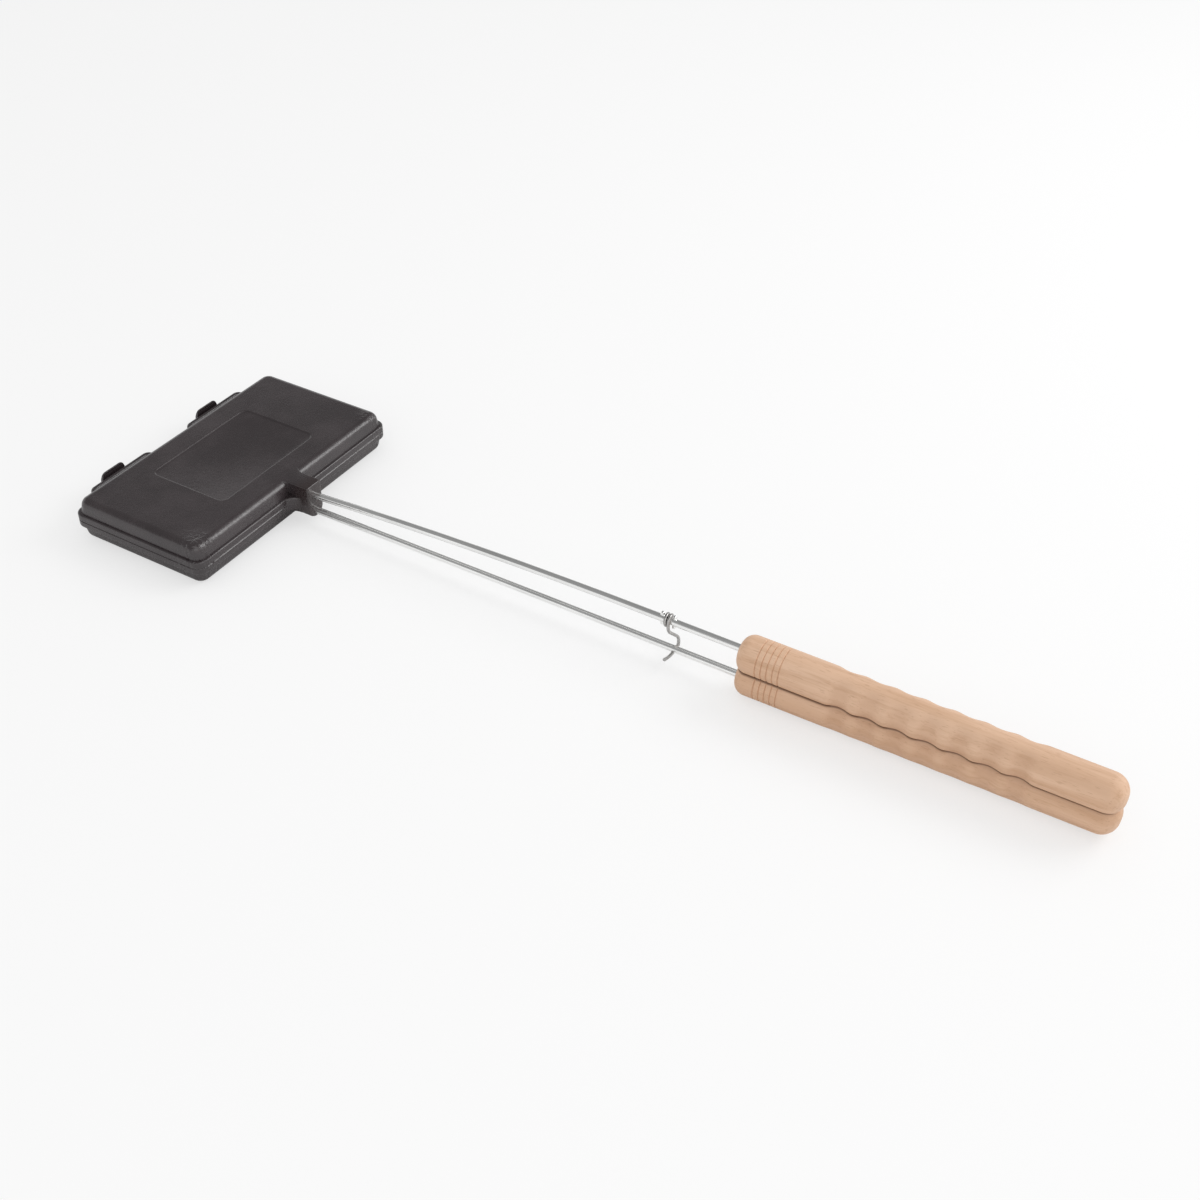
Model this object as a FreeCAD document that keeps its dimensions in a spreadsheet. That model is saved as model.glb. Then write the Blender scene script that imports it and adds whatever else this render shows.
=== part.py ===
import FreeCAD, Part
import math
import os
import re
import Sketcher

V = FreeCAD.Vector

# Double pie iron: two cast pans hinged along their far long edge, each on a
# steel rod with a wooden handle, held shut by a bent wire latch.
# X runs from the hinge to the handle ends, Y along the pans, Z up. The origin
# is the centre of the footprint, on the surface that the iron lies on.
# Lengths are millimetres and angles are degrees.

SIZES = {
    # Pan halves, measured from the parting plane outwards
    "pan_depth": 115.0,
    "pan_width": 206.0,
    "pan_height": 15.6,
    "corner_radius": 10.0,
    "flange_height": 5.2,
    "flange_step": 1.4,
    "flange_edge": 0.7,
    "parting_edge": 0.5,
    "wall_draft": 8.0,
    "shoulder_radius": 4.5,
    "rim_width": 7.0,
    "floor_thickness": 4.2,
    "cavity_draft": 10.0,
    "cavity_corner": 9.0,
    "cavity_floor_radius": 4.0,
    "panel_depth": 66.0,
    "panel_width": 98.0,
    "panel_recess": 0.5,
    "panel_corner": 6.0,
    # Neck that holds the rod
    "neck_length": 19.0,
    "neck_width": 23.0,
    "neck_blend": 9.0,
    "neck_corner": 6.0,
    # Hinge: a loop on the upper pan, a tongue on the lower pan
    "hinge_spacing": 100.0,
    "hinge_offset": 9.1,
    "hinge_height": 2.9,
    "bar_diameter": 4.2,
    "loop_length": 61.0,
    "loop_corner": 5.0,
    "tongue_width": 25.0,
    "tongue_thickness": 3.6,
    "tongue_clearance": 0.4,
    "tongue_rise": 8.4,
    "tongue_corner": 3.0,
    "tongue_edge": 0.6,
    # Rods
    "rod_diameter": 5.0,
    "rod_reach": 329.5,
    "rod_straight": 62.0,
    "rod_neck_height": 6.45,
    "rod_fit": 0.05,
    "neck_socket": 15.0,
    "handle_socket": 120.0,
    # Handles
    "handle_length": 239.5,
    "handle_diameter": 25.4,
    "handle_height": 21.3,
    "handle_gap": 0.6,
    "rod_to_flat": 10.45,
    "nose_diameter": 12.0,
    "nose_length": 12.0,
    "nose_radius": 6.0,
    "nose_edge": 2.0,
    "tail_radius": 11.0,
    "ring_count": 5,
    "ring_first": 14.3,
    "ring_pitch": 3.9,
    "ring_width": 1.0,
    "ring_depth": 0.6,
    "grip_count": 7,
    "grip_start": 69.4,
    "grip_pitch": 18.65,
    "grip_depth": 2.0,
    "grip_lean": 6.6,
    "grip_height": 10.5,
    "grip_crest": 0.25,
    "grip_exit_angle": 50,
    # Wire latch on the upper rod
    "latch_place": 280.0,
    "wire_diameter": 2.0,
    "coil_turns": 2,
    "coil_clearance": 0.2,
    "coil_gap": 0.7,
    "hook_clearance": 0.3,
    "strand_drop": 6.5,
    "strand_cross": 14.0,
    "strand_side": 8.0,
    "strand_shift": 1.7,
    "strand_bend": 3.0,
    "hook_lead_angle": 12.0,
    "hook_tail_angle": 22.0,
    "hook_tail": 4.0,
    "ear_height": 2.3,
    "ear_length": 3.6,
    "ear_thickness": 1.8,
    "ear_corner": 1.0,
    "ear_gap": 0.4,
    # Length by which cutting bodies run past what they cut
    "overrun": 2.0,
}

# Sizes that follow from the ones above
DERIVED = {
    "bar_radius": "bar_diameter / 2",
    "hinge_reach": "hinge_offset + bar_radius",
    "overall_length": "hinge_reach + pan_depth + neck_length + rod_reach + handle_length",
    "head_place": "hinge_reach + pan_depth / 2 - overall_length / 2",
    "neck_end": "pan_depth / 2 + neck_length",
    "handle_front": "head_place + neck_end + rod_reach",
    "rod_radius": "rod_diameter / 2",
    "handle_radius": "handle_diameter / 2",
    "lathe_height": "handle_height - handle_radius",
    "lower_rod_height": "handle_height - rod_to_flat",
    "upper_rod_height": "handle_height + handle_gap + rod_to_flat",
    "rod_spacing": "upper_rod_height - lower_rod_height",
    "wire_radius": "wire_diameter / 2",
    "coil_radius": "rod_radius + coil_clearance + wire_radius",
    "coil_pitch": "wire_diameter + coil_gap",
    "coil_length": "coil_pitch * coil_turns",
    "hook_radius": "rod_spacing + rod_radius + hook_clearance + wire_radius",
    "latch_middle": "head_place + neck_end + latch_place",
    "ring_span": "ring_pitch * (ring_count - 1)",
    "nose_slope": "atan((handle_radius - nose_diameter / 2) / nose_length)",
    "nose_edge_reach": "nose_edge * tan((90 deg - nose_slope) / 2)",
    "shoulder_reach": "nose_radius * tan(nose_slope / 2)",
    "bend_run": "rod_reach - rod_straight",
    "upper_rise": "upper_rod_height - pan_height - rod_neck_height",
    "lower_rise": "lower_rod_height - pan_height + rod_neck_height",
    "upper_slope": "2 * atan(upper_rise / bend_run)",
    "lower_slope": "2 * atan(lower_rise / bend_run)",
}

doc = FreeCAD.newDocument("PieIron")
sheet = doc.addObject("Spreadsheet::Sheet", "Sizes")


def fill_sheet():
    """Write every driving size, then every size worked out from them."""
    row = 1
    for alias, number in SIZES.items():
        sheet.set("A%d" % row, alias)
        sheet.set("B%d" % row, str(number))
        sheet.setAlias("B%d" % row, alias)
        row += 1
    for alias, formula in DERIVED.items():
        sheet.set("A%d" % row, alias)
        sheet.set("B%d" % row, "=" + formula)
        sheet.setAlias("B%d" % row, alias)
        row += 1
    doc.recompute()


def bound(formula):
    """The formula with each size's name pointed at the sheet."""
    def point(match):
        word = match.group(0)
        return "Sizes." + word if word in SIZES or word in DERIVED else word
    return re.sub(r"[a-z_]+", point, formula)


def size(formula):
    """The present value of a formula in the sheet's names."""
    return float(sheet.evalExpression(bound(formula)))


def tie(thing, place, formula):
    """Bind one property of an object to the sheet."""
    thing.setExpression(place, bound(formula))


def new_body(name):
    body = doc.addObject("PartDesign::Body", name)
    body.Label = name
    return body


def place_body(body, along, up, across="0"):
    tie(body, "Placement.Base.x", along)
    tie(body, "Placement.Base.y", across)
    tie(body, "Placement.Base.z", up)


def origin_part(body, role):
    for feature in body.Origin.OriginFeatures:
        if feature.Role == role:
            return feature
    raise ValueError(role)


def new_sketch(body, name, role, offset="0", up="0"):
    """A sketch on one of the body's own origin planes, shifted along its normal and upwards."""
    sketch = body.newObject("Sketcher::SketchObject", name)
    sketch.AttachmentSupport = [(origin_part(body, role), "")]
    sketch.MapMode = "FlatFace"
    tie(sketch, "AttachmentOffset.Base.z", offset)
    tie(sketch, "AttachmentOffset.Base.y", up)
    return sketch


def hold_point(sketch, line, end, place):
    """Fix one end of a line at a pair of formulas from the sketch's origin."""
    for kind, formula in zip(("DistanceX", "DistanceY"), place):
        index = sketch.addConstraint(
            Sketcher.Constraint(kind, -1, 1, line, end, size(formula)))
        if formula != "0":
            tie(sketch, "Constraints[%d]" % index, formula)


def polygon(sketch, places):
    """A closed outline whose corners are pairs of formulas."""
    corners = [V(size(across), size(up), 0) for across, up in places]
    first = sketch.GeometryCount
    count = len(corners)
    for i in range(count):
        sketch.addGeometry(Part.LineSegment(corners[i], corners[(i + 1) % count]), False)
    for i in range(count):
        following = first + (i + 1) % count
        sketch.addConstraint(Sketcher.Constraint("Coincident", first + i, 2, following, 1))
    for i in range(count):
        hold_point(sketch, first + i, 1, places[i])


def rectangle(sketch, left, right, low, high):
    polygon(sketch, [(left, low), (right, low), (right, high), (left, high)])


def circle(sketch, across, up, radius):
    centre = V(size(across), size(up), 0)
    index = sketch.addGeometry(Part.Circle(centre, V(0, 0, 1), size(radius)), False)
    held = sketch.addConstraint(Sketcher.Constraint("Radius", index, size(radius)))
    tie(sketch, "Constraints[%d]" % held, radius)
    hold_point(sketch, index, 3, (across, up))


def pad(body, name, sketch, length, reversed_way=False, both_ways=False, taper=None):
    feature = body.newObject("PartDesign::Pad", name)
    feature.Profile = sketch
    tie(feature, "Length", length)
    feature.Reversed = reversed_way
    feature.Midplane = both_ways
    if taper:
        tie(feature, "TaperAngle", taper)
    doc.recompute()
    return feature


def pocket(body, name, sketch, length, reversed_way=False, both_ways=False, taper=None):
    """Cut a sketch out of the body, and check that something was cut."""
    before = body.Shape.Volume
    feature = body.newObject("PartDesign::Pocket", name)
    feature.Profile = sketch
    tie(feature, "Length", length)
    feature.Reversed = reversed_way
    feature.Midplane = both_ways
    if taper:
        tie(feature, "TaperAngle", taper)
    doc.recompute()
    check_cut(body, name, before)
    return feature


def check_cut(body, name, before):
    if not body.Shape.Volume < before:
        raise RuntimeError(name + " cuts nothing")


def edges_where(body, wanted):
    """Names of the body's present edges whose middle and direction pass a test."""
    names = []
    for i, edge in enumerate(body.Tip.Shape.Edges):
        middle = edge.valueAt((edge.FirstParameter + edge.LastParameter) / 2)
        run = edge.Vertexes[-1].Point - edge.Vertexes[0].Point
        if wanted(middle, run):
            names.append("Edge%d" % (i + 1))
    return names


def outline_edges(body, height):
    """Names of the outer edges of the body's largest level face at a height."""
    level = size(height)
    near = size("overrun / 1000")
    shape = body.Tip.Shape
    faces = [face for face in shape.Faces
             if face.BoundBox.ZLength < near and abs(face.BoundBox.ZMin - level) < near]
    outline = max(faces, key=lambda face: face.Area).OuterWire.Edges
    return ["Edge%d" % (i + 1) for i, edge in enumerate(shape.Edges)
            if any(edge.isSame(other) for other in outline)]


def round_edges(body, name, radius, names, kind="Fillet"):
    """Fillet or chamfer named edges of the body's present shape."""
    if not names:
        raise RuntimeError(name + " finds no edge")
    base = body.Tip
    feature = body.newObject("PartDesign::" + kind, name)
    feature.Base = (base, names)
    tie(feature, "Radius" if kind == "Fillet" else "Size", radius)
    doc.recompute()
    if "Invalid" in feature.State or feature.Shape.Volume == base.Shape.Volume:
        raise RuntimeError(name + " changes nothing")
    return feature


def pan_plan(sketch, inset):
    """Plan of a pan and its neck, drawn in from the rim by an inset."""
    back = "-pan_depth / 2 + " + inset
    front = "pan_depth / 2 - " + inset
    end = "neck_end - " + inset
    side = "pan_width / 2 - " + inset
    neck = "neck_width / 2 - " + inset
    polygon(sketch, [
        (back, "-(%s)" % side),
        (front, "-(%s)" % side),
        (front, "-(%s)" % neck),
        (end, "-(%s)" % neck),
        (end, neck),
        (front, neck),
        (front, side),
        (back, side),
    ])


def upright(run):
    """Whether an edge climbs more than it runs level."""
    return abs(run.z) > math.hypot(run.x, run.y)


def upright_edges(body, height, place):
    """The body's upright edges whose middles lie at one height, in one kind of place."""
    near = size("flange_edge / 2")
    level = size(height)
    neck_middle = size("(pan_depth / 2 + neck_end) / 2")
    pan_side = size("(pan_width + neck_width) / 4")
    places = {
        "corner": lambda middle: abs(middle.y) > pan_side,
        "neck_corner": lambda middle: middle.x > neck_middle,
        "neck_root": lambda middle: abs(middle.y) < pan_side and 0 < middle.x < neck_middle,
    }

    def wanted(middle, run):
        return upright(run) and abs(middle.z - level) < near and places[place](middle)

    return edges_where(body, wanted)


def pan_half(name, slope, tilt):
    """One pan, with z from the parting plane outwards and the neck towards +X."""
    body = new_body(name)
    wall_plan = new_sketch(body, name + "_wall_plan", "XY_Plane", "flange_height / 2")
    pan_plan(wall_plan, "flange_step")
    pad(body, name + "_wall", wall_plan, "pan_height - flange_height / 2", taper="-wall_draft")
    wall_level = "pan_height / 2 + flange_height / 4"
    for place in ("corner", "neck_corner"):
        round_edges(body, name + "_wall_" + place, place_radius(place, "flange_step"),
                    upright_edges(body, wall_level, place))
    rim_plan = new_sketch(body, name + "_rim_plan", "XY_Plane")
    pan_plan(rim_plan, "0")
    pad(body, name + "_rim", rim_plan, "flange_height")
    for place in ("corner", "neck_corner", "neck_root"):
        round_edges(body, name + "_rim_" + place, place_radius(place, "0"),
                    upright_edges(body, "flange_height / 2", place))
    round_edges(body, name + "_wall_neck_root", place_radius("neck_root", "flange_step"),
                upright_edges(body, "(pan_height + flange_height) / 2", "neck_root"))
    round_edges(body, name + "_shoulder", "shoulder_radius", outline_edges(body, "pan_height"))
    round_edges(body, name + "_rim_edge", "flange_edge", outline_edges(body, "flange_height"))
    round_edges(body, name + "_parting_edge", "parting_edge", outline_edges(body, "0"), "Chamfer")
    cut_cavity(body, name)
    cut_panel(body, name)
    cut_rod_bore(body, name, slope, tilt)
    return body


def place_radius(place, inset):
    """Corner radius in one kind of place, for a plan drawn in by an inset."""
    if place == "neck_root":
        return "neck_blend + " + inset
    return ("corner_radius - " if place == "corner" else "neck_corner - ") + inset


def cut_cavity(body, name):
    """The cooking cavity, with drafted walls and rounded corners."""
    depth = "pan_height - floor_thickness"
    plan = new_sketch(body, name + "_cavity_plan", "XY_Plane")
    rectangle(plan, "-pan_depth / 2 + rim_width", "pan_depth / 2 - rim_width",
              "-pan_width / 2 + rim_width", "pan_width / 2 - rim_width")
    pocket(body, name + "_cavity", plan, depth, reversed_way=True, taper="-cavity_draft")
    half_depth = size("pan_depth / 2 - rim_width")
    half_width = size("pan_width / 2 - rim_width")
    reach = size("pan_height * 1 / 3")

    def corner(middle, run):
        across = 0 < half_depth - abs(middle.x) < reach
        along = 0 < half_width - abs(middle.y) < reach
        return upright(run) and across and along

    round_edges(body, name + "_cavity_corners", "cavity_corner", edges_where(body, corner))
    round_edges(body, name + "_cavity_floor", "cavity_floor_radius", outline_edges(body, depth))


def cut_panel(body, name):
    """The bare recessed panel in the outer face."""
    plan = new_sketch(body, name + "_panel_plan", "XY_Plane", "pan_height")
    rectangle(plan, "-panel_depth / 2", "panel_depth / 2",
              "-panel_width / 2", "panel_width / 2")
    pocket(body, name + "_panel", plan, "panel_recess")
    bottom = size("pan_height - panel_recess")

    def corner(middle, run):
        return upright(run) and middle.z > bottom

    round_edges(body, name + "_panel_corners", "panel_corner", edges_where(body, corner))


def cut_rod_bore(body, name, slope, tilt):
    """The socket for the rod, along the rod's first direction."""
    mouth = new_sketch(body, name + "_bore_mouth", "YZ_Plane", "neck_end + overrun")
    mouth.AttachmentOffset = FreeCAD.Placement(
        mouth.AttachmentOffset.Base, FreeCAD.Rotation(V(-tilt, 0, 0), size(slope)))
    rise = "rod_neck_height + overrun * tan(%s) * %d" % (slope, tilt)
    tie(mouth, "AttachmentOffset.Base.y", rise)
    tie(mouth, "AttachmentOffset.Rotation.Angle", slope)
    circle(mouth, "0", "0", "rod_radius + rod_fit")
    pocket(body, name + "_bore", mouth, "neck_socket + rod_fit + overrun / cos(%s)" % slope)


def add_loop(body, name, middle):
    """One hinge loop: a round bar bent out of the rim and back."""
    path = new_sketch(body, name + "_path", "XY_Plane", "hinge_height")
    root = "-pan_depth / 2 + flange_step"
    bar = "-pan_depth / 2 - hinge_offset"
    bend = bar + " + loop_corner"
    reach = "(loop_length - bar_diameter) / 2"
    low = "%s - %s" % (middle, reach)
    high = "%s + %s" % (middle, reach)
    corners = [
        (root, low), (bend, low), (bar, low + " + loop_corner"),
        (bar, high + " - loop_corner"), (bend, high), (root, high),
    ]
    centres = [(bend, low + " + loop_corner"), (bend, high + " - loop_corner")]
    bent_line(path, corners, centres)
    section = new_sketch(body, name + "_section", "YZ_Plane", root)
    circle(section, low, "hinge_height", "bar_radius")
    pipe(body, name, section, path)


def bent_line(sketch, corners, centres, closed=False):
    """Straight runs, given by their ends, joined by arcs round the centres."""
    points = [V(size(across), size(up), 0) for across, up in corners]
    lines = []
    for i in range(0, len(points), 2):
        lines.append(sketch.addGeometry(Part.LineSegment(points[i], points[i + 1]), False))
        hold_point(sketch, lines[-1], 1, corners[i])
        hold_point(sketch, lines[-1], 2, corners[i + 1])
    for i, (across, up) in enumerate(centres):
        centre = V(size(across), size(up), 0)
        start = points[2 * i + 1] - centre
        end = points[2 * i + 2] - centre
        middle = centre + (start + end).normalize() * start.Length
        arc = Part.Arc(points[2 * i + 1], middle, points[2 * i + 2])
        index = sketch.addGeometry(arc, False)
        first = nearer_end(sketch, index, points[2 * i + 1])
        sketch.addConstraint(Sketcher.Constraint("Coincident", lines[i], 2, index, first))
        sketch.addConstraint(Sketcher.Constraint("Coincident", lines[i + 1], 1, index, 3 - first))
        hold = sketch.addConstraint(
            Sketcher.Constraint("DistanceX", -1, 1, index, 3, size(across)))
        tie(sketch, "Constraints[%d]" % hold, across)
    if closed:
        back = sketch.addGeometry(Part.LineSegment(points[-1], points[0]), False)
        sketch.addConstraint(Sketcher.Constraint("Coincident", lines[-1], 2, back, 1))
        sketch.addConstraint(Sketcher.Constraint("Coincident", back, 2, lines[0], 1))


def nearer_end(sketch, index, point):
    """Which end of an arc lies nearer to a point."""
    gaps = [(sketch.getPoint(index, end) - point).Length for end in (1, 2)]
    return 1 if gaps[0] < gaps[1] else 2


def pipe(body, name, section, path):
    feature = body.newObject("PartDesign::AdditivePipe", name)
    feature.Profile = section
    feature.Spine = (path, ["Edge%d" % (i + 1) for i in range(path.GeometryCount)])
    doc.recompute()
    return feature


# Outline of the tongue's hooked top from the hinge axis, as shares of its rise
TONGUE_TOP_SHARES = [
    (0.25, 0.333), (0.25, 0.952), (0.036, 1.0), (-0.107, 0.643), (-0.56, 0.524),
]


def add_tongue(body, name, middle):
    """One hinge tongue, which comes up inside the loop and hooks over its bar."""
    side = new_sketch(body, name + "_side", "XZ_Plane", "-(%s)" % middle)
    axis = "-pan_depth / 2 - hinge_offset"
    inner = axis + " + bar_radius + tongue_clearance * 2"
    outer = inner + " + tongue_thickness"
    root = "-pan_depth / 2 + flange_step"
    low = "flange_height - flange_edge"
    points = [
        (root, low),
        (outer + " - tongue_thickness / 2", low),
        (inner, "tongue_thickness / 2"),
        (inner, "-hinge_height"),
        (axis, "-hinge_height"),
    ]
    for out_share, up_share in TONGUE_TOP_SHARES:
        points.append((axis + " - tongue_rise * %s" % out_share,
                       "-hinge_height - tongue_rise * %s" % up_share))
    points += [
        (outer, "-hinge_height - tongue_thickness * 3 / 4"),
        (outer, "tongue_clearance"),
        (root, "tongue_clearance"),
    ]
    polygon(side, points)
    pad(body, name, side, "tongue_width", both_ways=True)
    seat = new_sketch(body, name + "_seat_outline", "XZ_Plane", "-(%s)" % middle)
    circle(seat, axis, "-hinge_height", "bar_radius + tongue_clearance")
    pocket(body, name + "_seat", seat, "tongue_width + overrun", both_ways=True)
    round_tongue(body, name, middle)


def round_tongue(body, name, middle):
    """Round the tab's two upper corners, then both ends of the tongue."""
    near = size("tongue_edge / 2")
    face = size("-pan_depth / 2") - near
    centre = size(middle)
    half = size("tongue_width / 2")
    tab = size("-hinge_height - tongue_rise * 3 / 4")

    def end_edge(point):
        return point.x < face and abs(abs(point.y - centre) - half) < near

    def tab_corner(point, run):
        return end_edge(point) and point.z < tab and abs(run.x) > abs(run.z)

    round_edges(body, name + "_tab_corners", "tongue_corner", edges_where(body, tab_corner))

    def end(point, run):
        return end_edge(point) and abs(run.y) < near and point.z < 0

    round_edges(body, name + "_ends", "tongue_edge", edges_where(body, end))


def revolve(body, name, sketch, kind="Revolution"):
    """Turn a sketch about its own level axis, to add or to cut."""
    before = body.Shape.Volume if kind == "Groove" else 0
    feature = body.newObject("PartDesign::" + kind, name)
    feature.Profile = sketch
    feature.ReferenceAxis = (sketch, ["H_Axis"])
    feature.Angle = 360
    doc.recompute()
    if kind == "Groove":
        check_cut(body, name, before)
    return feature


def make_handle(name):
    """One handle from its front end, with z from the mating flat outwards."""
    body = new_body(name)
    outline = new_sketch(body, name + "_outline", "XZ_Plane", "0", "lathe_height")
    tail = "handle_length - tail_radius"
    side = "handle_radius"
    bent_line(outline, [
        ("0", "0"),
        ("0", "nose_diameter / 2 - nose_edge_reach"),
        ("nose_edge_reach * cos(nose_slope)",
         "nose_diameter / 2 + nose_edge_reach * sin(nose_slope)"),
        ("nose_length - shoulder_reach * cos(nose_slope)",
         "handle_radius - shoulder_reach * sin(nose_slope)"),
        ("nose_length + shoulder_reach", side),
        (tail, side),
        ("handle_length", side + " - tail_radius"),
        ("handle_length", "0"),
    ], [
        ("nose_edge", "nose_diameter / 2 - nose_edge_reach"),
        ("nose_length + shoulder_reach", side + " - nose_radius"),
        (tail, side + " - tail_radius"),
    ], closed=True)
    revolve(body, name + "_blank", outline)
    cut_rings(body, name)
    flat = new_sketch(body, name + "_flat_side", "XZ_Plane")
    rectangle(flat, "-overrun", "handle_length + overrun", "-handle_diameter", "0")
    pocket(body, name + "_flat", flat, "handle_diameter + overrun", both_ways=True)
    for ending, way in (("near", 1), ("far", -1)):
        cut_grips(body, name + "_grips_" + ending, way)
    bore = new_sketch(body, name + "_bore_mouth", "YZ_Plane", "-overrun")
    circle(bore, "0", "rod_to_flat", "rod_radius + rod_fit")
    pocket(body, name + "_bore", bore, "handle_socket + rod_fit + overrun", reversed_way=True)
    return body


def cut_rings(body, name):
    """The row of turned rings behind the nose."""
    ring = new_sketch(body, name + "_ring_outline", "XZ_Plane", "0", "lathe_height")
    polygon(ring, [
        ("ring_first - ring_width / 4", "handle_radius - ring_depth"),
        ("ring_first + ring_width / 4", "handle_radius - ring_depth"),
        ("ring_first + ring_width * 3 / 4", "handle_radius + ring_depth"),
        ("ring_first - ring_width * 3 / 4", "handle_radius + ring_depth"),
    ])
    groove = revolve(body, name + "_ring", ring, "Groove")
    before = body.Shape.Volume
    row = body.newObject("PartDesign::LinearPattern", name + "_rings")
    row.Originals = [groove]
    row.Direction = (origin_part(body, "X_Axis"), [""])
    tie(row, "Length", "ring_span")
    tie(row, "Occurrences", "ring_count")
    body.Tip = row
    doc.recompute()
    check_cut(body, name + "_rings", before)


def cut_grips(body, name, way):
    """A wave of finger hollows along one side, turned about an axis beyond the other side."""
    wave = new_sketch(body, name + "_wave", "XZ_Plane", "-grip_lean * %d" % way, "grip_height")
    swing = "(grip_depth - grip_crest)"
    low = "grip_lean + handle_radius - grip_depth"
    middle = low + " + %s / 2" % swing
    bend = "(grip_pitch / 4 / sin(2 * atan(%s / (grip_pitch / 2))))" % swing
    exit_along = bend + " * sin(grip_exit_angle)"
    exit_up = "%s + %s * (1 - cos(grip_exit_angle))" % (low, bend)
    last = "grip_start + grip_pitch * (grip_count - 1)"
    ends = [("grip_start - " + exit_along, exit_up)]
    tops = [("grip_start", low)]
    for i in range(1, 2 * SIZES["grip_count"] - 1):
        ends.append(("grip_start + grip_pitch * %d / 4" % (2 * i - 1), middle))
        crest = " + " + swing if i % 2 else ""
        tops.append(("grip_start + grip_pitch * %d / 2" % i, low + crest))
    ends.append(("%s + %s" % (last, exit_along), exit_up))
    points = [V(size(across), size(up), 0) for across, up in ends]
    for i, (across, up) in enumerate(tops):
        arc = Part.Arc(points[i], V(size(across), size(up), 0), points[i + 1])
        index = wave.addGeometry(arc, False)
        held = wave.addConstraint(Sketcher.Constraint("Radius", index, size(bend)))
        tie(wave, "Constraints[%d]" % held, bend)
        first = nearer_end(wave, index, points[i])
        hold_point(wave, index, first, ends[i])
        hold_point(wave, index, 3 - first, ends[i + 1])
    closing = wave.addGeometry(Part.LineSegment(points[-1], points[0]), False)
    hold_point(wave, closing, 1, ends[-1])
    hold_point(wave, closing, 2, ends[0])
    revolve(body, name, wave, "Groove")


def make_rod(name, slope, rise):
    """One rod from the mouth of its neck, with z upwards."""
    body = new_body(name)
    back = "-neck_socket * cos(%s)" % slope
    down = "-neck_socket * sin(%s)" % slope
    path = new_sketch(body, name + "_path", "XZ_Plane")
    bent_line(path, [
        (back, down),
        ("0", "0"),
        ("bend_run", rise),
        ("rod_reach + handle_socket", rise),
    ], [("bend_run", "%s - bend_run / sin(%s)" % (rise, slope))])
    section = new_sketch(body, name + "_section", "YZ_Plane", back)
    section.AttachmentOffset = FreeCAD.Placement(
        section.AttachmentOffset.Base, FreeCAD.Rotation(V(-1, 0, 0), size(slope)))
    tie(section, "AttachmentOffset.Base.y", down)
    tie(section, "AttachmentOffset.Rotation.Angle", slope)
    circle(section, "0", "0", "rod_radius")
    pipe(body, name + "_bar", section, path)
    return body


def add_ears(body, name, rise):
    """Two pinched pairs of ears that keep the latch's coil in its place."""
    reach = "(rod_radius + ear_height)"
    inner = "(coil_length / 2 + wire_radius + ear_gap)"
    spans = {
        "_front": ("latch_place - %s - ear_length" % inner, "latch_place - %s" % inner),
        "_back": ("latch_place + %s" % inner, "latch_place + %s + ear_length" % inner),
    }
    for ending, (start, end) in spans.items():
        side = new_sketch(body, name + ending + "_side", "XZ_Plane")
        rectangle(side, start, end, "%s - %s" % (rise, reach), "%s + %s" % (rise, reach))
        pad(body, name + ending, side, "ear_thickness", both_ways=True)
        near = size("ear_corner / 10")
        tip = size(reach)
        level = size(rise)
        first = size(start) - near
        last = size(end) + near

        def tip_corner(middle, run):
            ours = first < middle.x < last and abs(run.y) > abs(run.x)
            return ours and abs(abs(middle.z - level) - tip) < near

        round_edges(body, name + ending + "_corners", "ear_corner",
                    edges_where(body, tip_corner))


def arc_from(start, heading, end):
    """The arc that leaves one point along a direction and reaches another."""
    chord = end - start
    along = chord.normalize()
    length = (end - start).Length
    aside = heading - along * heading.dot(along)
    turn = math.acos(max(-1, min(1, heading.dot(along))))
    bulge = length / 2 * math.tan(turn / 2)
    middle = (start + end) / 2 + aside.normalize() * bulge
    return Part.Arc(start, middle, end).toShape()


def biarc(start, leaving, end, arriving):
    """Two arcs that meet smoothly between two points with given directions."""
    chord = end - start
    both = leaving + arriving
    square = 2 * (1 - leaving.dot(arriving))
    lead = chord.dot(both)
    reach = (math.sqrt(lead ** 2 + square * chord.dot(chord)) - lead) / square
    meeting = (start + leaving * reach + end - arriving * reach) / 2
    first = arc_from(start, leaving, meeting)
    crossing = (end - arriving * reach - start - leaving * reach).normalize()
    return [first, arc_from(meeting, crossing, end)]


def coil_edges():
    """The coil round the rod's axis, from its free end to the side facing the user."""
    radius = size("coil_radius")
    climb = size("coil_pitch / 4")
    quarters = 4 * SIZES["coil_turns"]
    steep = size("coil_pitch") / (2 * math.pi * radius)
    places = []
    headings = []
    for i in range(quarters + 1):
        turn = (i - quarters) * math.pi / 2
        places.append(V(climb * (quarters / 2 - i), -radius * math.cos(turn),
                        -radius * math.sin(turn)))
        headings.append(V(-steep, math.sin(turn), -math.cos(turn)).normalize())
    headings[-1] = V(0, 0, -1)
    edges = []
    for i in range(quarters):
        edges += biarc(places[i], headings[i], places[i + 1], headings[i + 1])
    return edges, places[-1]


def rounded_run(points, radii):
    """Straight runs through points, with each inner corner rounded to its radius."""
    edges = []
    start = points[0]
    for i, radius in enumerate(radii):
        corner = points[i + 1]
        inward = (corner - points[i]).normalize()
        outward = (points[i + 2] - corner).normalize()
        turn = inward.getAngle(outward)
        reach = radius * math.tan(turn / 2)
        if reach > (corner - start).Length:
            raise RuntimeError("latch corner %d has no room" % i)
        leave = corner - inward * reach
        join = corner + outward * reach
        middle = corner + (outward - inward).normalize() * radius * (1 / math.cos(turn / 2) - 1)
        edges.append(Part.makeLine(start, leave))
        edges.append(Part.Arc(leave, middle, join).toShape())
        start = join
    edges.append(Part.makeLine(start, points[-1]))
    return edges


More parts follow.
